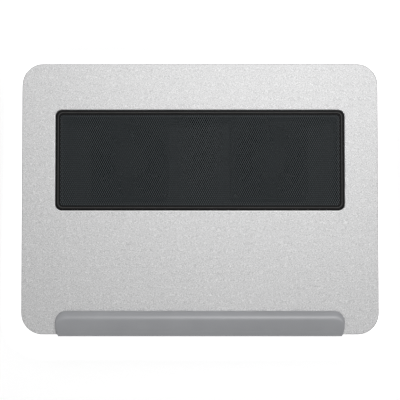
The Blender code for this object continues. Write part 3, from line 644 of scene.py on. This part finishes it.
def makeStopper():
    section = smoothed(stopper["back"], 4) + list(stopper["hook"])
    ends = []
    for degrees in range(0, 85, 4):
        ends.append(stopper["half"] - stopper["corner"] * (1 - math.sin(math.radians(degrees))))
    xs = [-x for x in reversed(ends)] + stopper["middleXs"] + ends
    rings = [stopperRing(x, section) for x in xs]
    obj = newObject("frontStopper", moved(skin(rings), onPlate))
    tips = max(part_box(name)[1].z for name in nodesNamed("stopper_screw")) / mm
    low, high = tips - stopper["screwReach"], tips + stopper["screwGap"]
    carve(obj, [("DIFFERENCE", rods(stopper["screwHole"], low, high, middles("stopper_screw")))])
    finishPiece(obj, siliconeFinish, "base", ["front_stopper"], stopper["sharp"])


# Upper frame and base tray

upperFrame = {
    "half": (178.0, 134.0), "corner": 17.0, "openingHalf": (141.5, 44.9), "openingCorner": 3.5,
    "cornerSteps": 20, "low": -4.3, "high": -2.3, "edge": 0.4, "bossRadius": 4.0, "bossLength": 3.4,
    "boreRadius": 1.5, "boreTop": 0.7, "headHole": 3.2,
}
tray = {
    "centre": (0.0, 0.92), "half": (176.0, 131.5), "corner": 15.0, "edge": 5.0, "wall": 2.2, "bottom": 3.5,
    "rim": -4.6, "postRadius": 4.6, "recessRadius": 3.0, "web": 2.6, "intakeRadius": 38.0, "rimEdge": 0.4,
    "ventXs": [40.0 + 10.0 * i for i in range(8)], "ventHalf": 1.5, "ventLow": 13.0, "ventHigh": 26.0,
    "rearCut": (129.0, 136.0), "ribXs": (-120.0, -60.0, 60.0, 120.0), "ribYs": (-130.5, -8.0), "ribTop": 8.8,
    "ribThick": 1.6, "boardPostTop": 10.7, "boardPostRadius": 3.0, "footHole": 2.5, "fanScrewHole": 2.0,
    "sliderTravel": 4.0, "sliderGap": (0.7, 0.4), "socketGap": 0.3, "screwBore": 1.5, "boardBore": 1.2,
    "boardBoreFrom": 2.3, "sunk": 1.2, "headGap": 0.3, "recessFlare": 1.2, "mouthFlare": 1.3,
}


def makeUpperFrame():
    edge = upperFrame["edge"]

    def outer(inset, z):
        half = [side - inset for side in upperFrame["half"]]
        return level(rounded(half, upperFrame["corner"] - inset, upperFrame["cornerSteps"]), z)

    def opening(z):
        half, corner = upperFrame["openingHalf"], upperFrame["openingCorner"]
        return level(rounded(half, corner, upperFrame["cornerSteps"], window["centre"]), z)

    low, high = upperFrame["low"], upperFrame["high"]
    rings = [outer(edge, low), outer(0.0, low + edge), outer(0.0, high - edge), outer(edge, high)]
    rings += [opening(high), opening(low)]
    obj = newObject("upperFrame", moved(skin(rings, closed=True), onPlate))
    bosses, bores = [], []
    for place in middles("tray_screw"):
        under = leaningZ(place[1], low)
        bottom, top = under - upperFrame["bossLength"], under + past
        bosses += rods(upperFrame["bossRadius"], bottom, top, [place], 32)
        bores += rods(upperFrame["boreRadius"], bottom - past, under + upperFrame["boreTop"], [place])
    for place in middles("stopper_screw"):
        under = leaningZ(place[1], low)
        bores += rods(upperFrame["headHole"], under - past, under + 4.0, [place])
    carve(obj, [("UNION", bosses), ("DIFFERENCE", bores)])
    finishPiece(obj, grainedFinish, "base", ["upper_frame"])


def trayRing(inset, z=None, drop=0.0):
    half = [side - inset for side in tray["half"]]
    outline = rounded(half, tray["corner"] - inset, 16, tray["centre"])
    return [(x, y, leaningZ(y, tray["rim"] - drop) if z is None else z) for x, y in outline]


def alongY(outline, ys):  # a prism with this (x, z) outline
    return skin([[(x, y, z) for x, z in outline] for y in ys])


def stadium(x, half, low, high):  # upright slot outline with round ends
    top = arc((x, high - half), half, 0.0, 180.0, 8)
    return top + arc((x, low + half), half, 180.0, 360.0, 8)


def socketHole(name):
    low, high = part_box(name)
    gap = tray["socketGap"]
    xs = (low.x / mm - gap, high.x / mm + gap)
    return block(xs, tray["rearCut"], (low.z / mm - gap, high.z / mm + gap))


def makeTray():
    edge, wall, bottom = tray["edge"], tray["wall"], tray["bottom"]
    rings = []
    for inset, z in arc((edge, bottom + edge), edge, 270.0, 180.0, 8):
        rings.append(trayRing(inset, z))
    rings += [trayRing(0.0, drop=tray["rimEdge"]), trayRing(tray["rimEdge"]), trayRing(wall)]
    inner = edge - wall
    for inset, z in arc((edge, bottom + edge), inner, 180.0, 270.0, 5):
        rings.append(trayRing(inset, z))
    obj = newObject("baseTray", skin(rings))
    sunk, above = bottom + tray["sunk"], bottom + wall + 3.3
    posts, recesses, bores = [], [], []
    for name, place in zip(nodesNamed("tray_screw"), middles("tray_screw")):
        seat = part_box(name)[0].z / mm + screwHead["tray"][1] + tray["headGap"]
        r = tray["recessRadius"]
        flare = r + tray["recessFlare"]
        posts += rods(tray["postRadius"], sunk, seat + tray["web"], [place], 32)
        recesses.append(shifted(turned([(flare, bottom - 0.7), (r, bottom + 0.5), (r, seat)], 32), *place))
        bores += rods(tray["screwBore"], seat - past, seat + tray["web"] + past, [place])
    posts += rods(tray["boardPostRadius"], sunk, tray["boardPostTop"], middles("board_screw"))
    low, high = sunk + tray["boardBoreFrom"], tray["boardPostTop"] + past
    bores += rods(tray["boardBore"], low, high, middles("board_screw"))
    bores += rods(tray["footHole"], bottom - past, above, middles("foot_"))
    bores += rods(tray["fanScrewHole"], bottom - past, above, middles("fan_screw"))
    thick = tray["ribThick"] / 2
    ribs = [block((x - thick, x + thick), tray["ribYs"], (sunk + 0.1, tray["ribTop"])) for x in tray["ribXs"]]
    r = tray["intakeRadius"]
    mouth = [(r + tray["mouthFlare"], bottom - past), (r, bottom + 0.3), (r, bottom + 6.0)]
    intakes = [shifted(turned(mouth, 96), *place) for place in middles("fan_frame")]
    vents = []
    for x in tray["ventXs"]:
        vents.append(alongY(stadium(x, tray["ventHalf"], tray["ventLow"], tray["ventHigh"]), tray["rearCut"]))
    low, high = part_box("switch_slider")
    gapX, gapZ = tray["sliderGap"]
    slotXs = (low.x / mm - gapX, high.x / mm + tray["sliderTravel"] + gapX)
    slot = block(slotXs, tray["rearCut"], (low.z / mm - gapZ, high.z / mm + gapZ))
    carve(obj, [
        ("UNION", posts + ribs),
        ("DIFFERENCE", recesses + intakes),
        ("DIFFERENCE", bores + vents + [socketHole("usb_port"), socketHole("power_inlet"), slot]),
    ])
    finishPiece(obj, grainedFinish, "base", ["base_tray"])


# Feet, guards and screws

foot = {
    # (radius, height): grooved sole, rounded rim, shoulder and peg
    "profile": (
        (1.6, 0.5), (2.2, 0.0), (3.6, 0.0), (3.9, 0.5), (4.6, 0.5), (4.9, 0.0), (6.0, 0.0), (6.3, 0.5),
        (7.0, 0.5), (7.3, 0.0), (8.3, 0.0), (8.7, 0.15), (8.95, 0.45), (9.0, 0.8), (9.0, 2.6), (8.9, 2.9),
        (8.5, 3.2), (2.1, 3.2), (2.1, 6.3), (1.6, 6.9),
    ),
}
guard = {
    # (radius, height)
    "rim": (
        (35.4, 5.4), (37.7, 5.4), (37.7, 3.2), (39.8, 3.2), (39.8, 2.5), (39.65, 2.2), (39.3, 2.0),
        (35.8, 2.0), (35.4, 2.3),
    ),
    "hub": ((5.5, 2.2), (6.5, 2.7), (6.5, 4.4), (6.2, 4.6)),
    "hoops": (13.5, 21.0, 28.5), "hoopWidth": 1.5, "hoopLow": 2.7, "hoopHigh": 4.4, "hoopEdge": 0.25,
    "spokes": 6, "spokeHalf": 1.0, "spokeLow": 2.5, "spokeHigh": 4.7, "spokeReach": (5.0, 36.4),
    "spokeTurn": math.radians(30.0),
}
screwHead = {"tray": (2.6, 1.6, 1.2), "fan": (3.0, 1.6, 1.6)}  # head's radius and height, shank's radius
screwCut = {"reach": 0.6, "half": 0.2, "taper": 0.6, "depth": 0.9, "rim": 0.1, "dome": 0.6}
screwTip = {"length": 1.8, "radius": 0.15}


def makeFeet():
    for name, (x, y) in zip(nodesNamed("foot_"), middles("foot_")):
        words = name.split("_")
        shape = shifted(turned(foot["profile"], 48), x, y)
        obj = newObject("foot" + words[1].title() + words[2].title(), shape)
        finishPiece(obj, rubberFinish, "base", [name])


def softBar(reach, half, low, high, bevel=0.3):  # a bar along X with bevelled edges
    section = [
        (-half, low + bevel), (-half + bevel, low), (half - bevel, low), (half, low + bevel),
        (half, high - bevel), (half - bevel, high), (-half + bevel, high), (-half, high - bevel),
    ]
    return skin([[(x, y, z) for y, z in section] for x in reach])


def makeGuards():
    spokeTree = ringCopiesTree(grainedFinish)
    low, high, width, b = guard["hoopLow"], guard["hoopHigh"], guard["hoopWidth"], guard["hoopEdge"]
    for side in ("left", "right"):
        x, y = middles(f"fan_frame_{side}")[0]
        spoke = softBar(guard["spokeReach"], guard["spokeHalf"], guard["spokeLow"], guard["spokeHigh"])
        spokes = grow(newObject("spokes", spoke), spokeTree, {"Count": guard["spokes"]})
        shapes = [turned(guard["rim"], 96, closed=True)]
        for r in guard["hoops"]:
            ring = [
                (r, low + b), (r, high - b), (r + b, high), (r + width - b, high), (r + width, high - b),
                (r + width, low + b), (r + width - b, low), (r + b, low),
            ]
            shapes.append(turned(ring, 72, closed=True))
        shapes.append(turned(guard["hub"], 40))
        bars = bmesh.new()
        bars.from_mesh(spokes.data)
        bpy.data.objects.remove(spokes)
        moved(bars, Matrix.Rotation(guard["spokeTurn"], 4, "Z"))
        obj = newObject(f"intakeGuard{side.title()}", shifted(merged(shapes + [bars]), x, y))
        finishPiece(obj, grainedFinish, "base", [f"intake_guard_{side}"])


def crossOutline(reach, half):
    a, b = reach, half
    return [
        (a, -b), (a, b), (b, b), (b, a), (-b, a), (-b, b), (-a, b), (-a, -b), (-b, -b), (-b, -a), (b, -a),
        (b, -b),
    ]


def screwShape(headRadius, headHeight, shankRadius, length):  # head at the bottom, with a cross recess
    corners = crossOutline(headRadius * screwCut["reach"], headRadius * screwCut["half"])
    socket = []
    for i, (x, y) in enumerate(corners):
        nextX, nextY = corners[(i + 1) % len(corners)]
        socket += [(x + (nextX - x) * t, y + (nextY - y) * t) for t in (0.0, 0.25, 0.5, 0.75)]
    angles = [math.atan2(y, x) for x, y in socket]

    def disc(radius, z):
        return [(radius * math.cos(a), radius * math.sin(a), z) for a in angles]

    taper, dome, end = screwCut["taper"], screwCut["dome"], headHeight + length
    narrow = [(x * taper, y * taper) for x, y in socket]
    rings = [level(narrow, screwCut["depth"]), level(socket, screwCut["rim"])]
    for r, z in arc((headRadius - dome, dome), dome, 270.0, 360.0, 4):
        rings.append(disc(r, z))
    rings += [disc(headRadius, headHeight), disc(shankRadius, headHeight)]
    rings += [disc(shankRadius, end - screwTip["length"]), disc(screwTip["radius"], end)]
    return skin(rings)


def makeScrews():
    tree = placedCopiesTree(zincFinish)
    for kind, start in (("tray", "tray_screw"), ("fan", "fan_screw")):
        names = nodesNamed(start)
        places = bmesh.new()
        for name in names:
            low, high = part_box(name)
            places.verts.new(((low.x + high.x) / 2, (low.y + high.y) / 2, low.z))
        markers = newObject("screwPlaces", places)
        low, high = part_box(names[0])
        headRadius, headHeight, shankRadius = screwHead[kind]
        length = (high.z - low.z) / mm - headHeight
        obj = newObject(f"{kind}Screws", screwShape(headRadius, headHeight, shankRadius, length))
        grow(obj, tree, {"Places": markers})
        bpy.data.objects.remove(markers)
        finishPiece(obj, zincFinish, "base", names)


# Fans: the impellers are remade, and the rest of each fan keeps its own shape

impeller = {
    "hub": (
        (1.3, -4.8), (1.3, -3.3), (2.6, -3.3), (2.6, -4.0), (15.5, -4.0), (15.5, 5.0), (17.0, 5.0),
        (17.0, -4.3), (16.9, -4.8), (16.6, -5.25), (16.1, -5.5), (13.6, -5.5), (13.3, -5.2), (12.9, -5.2),
        (12.6, -5.5),
    ),
    "blades": 9, "root": 16.3, "tip": 36.6, "span": math.radians(32.0), "sweep": 0.35, "low": -4.6,
    "rise": 9.2, "thick": 1.2, "radialSteps": 10, "chordSteps": 10,
}


def bladeShape():
    def point(radius, s):
        reach = (radius - impeller["root"]) / (impeller["tip"] - impeller["root"])
        angle = impeller["sweep"] * reach + impeller["span"] * s
        height = impeller["low"] + impeller["rise"] * s ** 0.9
        return Vector((radius * math.cos(angle), radius * math.sin(angle), height))

    rings = []
    chord = impeller["chordSteps"]
    for i in range(impeller["radialSteps"] + 1):
        radius = impeller["root"] + (impeller["tip"] - impeller["root"]) * i / impeller["radialSteps"]
        upper, lower = [], []
        for j in range(chord + 1):
            s = j / chord
            along = point(radius, min(s + 0.02, 1.0)) - point(radius, max(s - 0.02, 0.001))
            normal = (point(radius + 0.1, s) - point(radius, s)).cross(along).normalized()
            half = impeller["thick"] / 2 * (0.35 + 0.65 * math.sin(math.pi * s) ** 0.5)
            upper.append(point(radius, s) + half * normal)
            lower.append(point(radius, s) - half * normal)
        rings.append(upper + lower[::-1])
    return skin(rings)


def makeImpellers():
    tree = ringCopiesTree(fanFinish)
    for joint in frame["joints"]:
        if not joint.get("continuous"):
            continue
        body = joint["child"]
        side = body.split("_")[1]
        x, y, z = [value / mm for value in joint["pos_m"]]
        blades = newObject("blades", bladeShape())
        grow(blades, tree, {"Count": impeller["blades"]})
        ring = bmesh.new()
        ring.from_mesh(blades.data)
        bpy.data.objects.remove(blades)
        whole = merged([turned(impeller["hub"], 64), ring])
        obj = newObject(f"impeller{side.title()}", shifted(whole, x, y, z))
        finishPiece(obj, fanFinish, body, [f"fan_impeller_{side}"])


def paintNodes():  # finishes for the CAD nodes that stay in view
    nylon = innerFinish("naturalNylon", "#cfc7b2", "#ded7c4", 0.5)
    sheath = innerFinish("pvcSheath", "#18181a", "#222225", 0.45)
    sleeve = innerFinish("shrinkSleeve", "#10182c", "#182442", 0.35)
    bronze = innerFinish("sinteredBronze", "#8a6434", "#a67c46", 0.5, 1.0)
    ferrite = innerFinish("bondedFerrite", "#26241f", "#322f29", 0.7)
    core = innerFinish("laminatedSteel", "#77787c", "#8e8f93", 0.45, 1.0)
    finishes = {
        "fan_frame": fanFinish, "fan_shaft": zincFinish, "fan_bearing": bronze, "fan_magnet": ferrite,
        "fan_stator": core, "fan_circuit": boardFinish, "usb_board": boardFinish, "usb_port": nickelFinish,
        "power_inlet": nickelFinish, "switch_body": satinFinish, "switch_slider": satinFinish,
        "capacitor": sleeve, "fan_plug": nylon, "fan_lead": sheath, "board_screw": zincFinish,
        "stopper_screw": zincFinish,
    }
    for start, finish in finishes.items():
        for name in nodesNamed(start):
            mesh = nodes[name].data
            mesh.materials.clear()
            mesh.materials.append(finish)


# Stage: a white floor that glows round the pad as painted light and is black under it as painted shadow, soft
# studio light and the camera

studio = {
    "floorHalf": 6.0, "skyStrength": 0.3,
    # painted light: the floor's own glow round the pad, which fills in the pad's shadow, against the distance from
    # the pad's outline
    "glowReach": (-0.03, 0.12),
    "glow": ((0.13, "#000000"), (0.17, "#ffffff"), (0.24, "#e8e8e8"), (0.36, "#808080")),
    "cameraLean": math.radians(2.4), "cameraDistance": 1.3, "frameWidth": 0.4105, "sensor": 36.0,
    "cameraAim": (0.0, -1.45),  # on the plate
    "clipEnd": 50.0,
    # the floor's own colour against the same distance: black under the pad as a painted shadow, white round it
    "paperAndShadow": ((0.1, "#050505"), (0.15, "#fafafa")),
    "lampAim": (0.0, 0.0, 0.03),
    # name: place, size and power
    "lamps": {
        "overheadKey": ((0.2, 0.37, 1.9), (0.5, 0.5), 19.1),
        "frontStrip": ((0.0, -1.9, 0.84), (1.6, 0.5), 1.4),
        "rearStrip": ((0.0, 1.9, 1.04), (1.6, 0.5), 2.8),
        "leftStrip": ((-1.9, 0.1, 0.93), (1.2, 0.5), 2.4),
        "rightStrip": ((1.9, 0.1, 0.93), (1.2, 0.5), 2.4),
    },
}


def makeStage():
    half = studio["floorHalf"]
    shape = bmesh.new()
    corners = ((-half, -half), (half, -half), (half, half), (-half, half))
    shape.faces.new([shape.verts.new((x, y, 0.0)) for x, y in corners])
    floor = newObject("floor", shape)
    # Seamless white backdrop. Its glow round the pad is painted light that fills in the pad's shadow, and the
    # black under the pad is a painted shadow.
    material, tree, place = newMaterial("paperSweep", {
        "Roughness": 0.9, "Specular IOR Level": 0.1, "Emission Strength": 1.0,
    })
    corner = plate["corner"] * mm
    straight = (plateHigh.x - corner, plateHigh.y - corner, 0.0)
    away = addNode(tree, "ShaderNodeVectorMath", {0: place}, operation="ABSOLUTE")
    beyond = addNode(tree, "ShaderNodeVectorMath", {0: away, 1: straight}, operation="SUBTRACT")
    outside = addNode(tree, "ShaderNodeVectorMath", {0: beyond, 1: (0.0, 0.0, 0.0)}, operation="MAXIMUM")
    distance = addNode(tree, "ShaderNodeVectorMath", {0: outside}, operation="LENGTH").outputs["Value"]
    low, high = [corner + offset for offset in studio["glowReach"]]
    reach = addNode(tree, "ShaderNodeMapRange", {"Value": distance, "From Min": low, "From Max": high})
    # black under the pad is a painted shadow; white round it
    addNode(tree, "ShaderNodeValToRGB", {"Fac": reach}, "Base Color", studio["paperAndShadow"])
    # the glow round the pad is painted light, not a lamp
    addNode(tree, "ShaderNodeValToRGB", {"Fac": reach}, "Emission Color", studio["glow"])
    floor.data.materials.append(material)


def makeLight(name, place, size, power):
    light = bpy.data.lights.new(name, "AREA")
    light.shape = "RECTANGLE"
    light.size, light.size_y = size
    light.energy = power
    obj = bpy.data.objects.new(name, light)
    scene.collection.objects.link(obj)
    obj.location = place
    obj.rotation_euler = (Vector(studio["lampAim"]) - Vector(place)).to_track_quat("-Z", "Y").to_euler()


def makeLights():
    world = scene.world or bpy.data.worlds.new("studio")
    scene.world = world
    world.use_nodes = True
    sky = world.node_tree.nodes["Background"]
    sky.inputs["Color"].default_value = (1.0, 1.0, 1.0, 1.0)
    sky.inputs["Strength"].default_value = studio["skyStrength"]
    for name, (place, size, power) in studio["lamps"].items():
        makeLight(name, place, size, power)


def makeCamera():
    camera = bpy.data.objects.new("camera", bpy.data.cameras.new("camera"))
    scene.collection.objects.link(camera)
    scene.camera = camera
    camera.data.sensor_width = studio["sensor"]
    camera.data.lens = studio["sensor"] * studio["cameraDistance"] / studio["frameWidth"]
    lean = tilt + studio["cameraLean"]
    back = Vector((0.0, -math.sin(lean), math.cos(lean)))
    aimX, aimY = studio["cameraAim"]
    camera.location = onPlate @ Vector((aimX * mm, aimY * mm, 0.0)) + back * studio["cameraDistance"]
    camera.rotation_euler = (lean, 0.0, 0.0)
    camera.data.clip_end = studio["clipEnd"]
    scene.view_settings.view_transform = "Standard"


makeCamera()
makeLights()
makeStage()
print("stage made")
makeTopPlate()
makeBezel()
makePerforatedSheet()
makeStopper()
print("plate, grille and stopper made")
makeUpperFrame()
makeTray()
makeFeet()
makeGuards()
makeScrews()
print("base made")
makeImpellers()
paintNodes()
print("fans and inner pieces made")
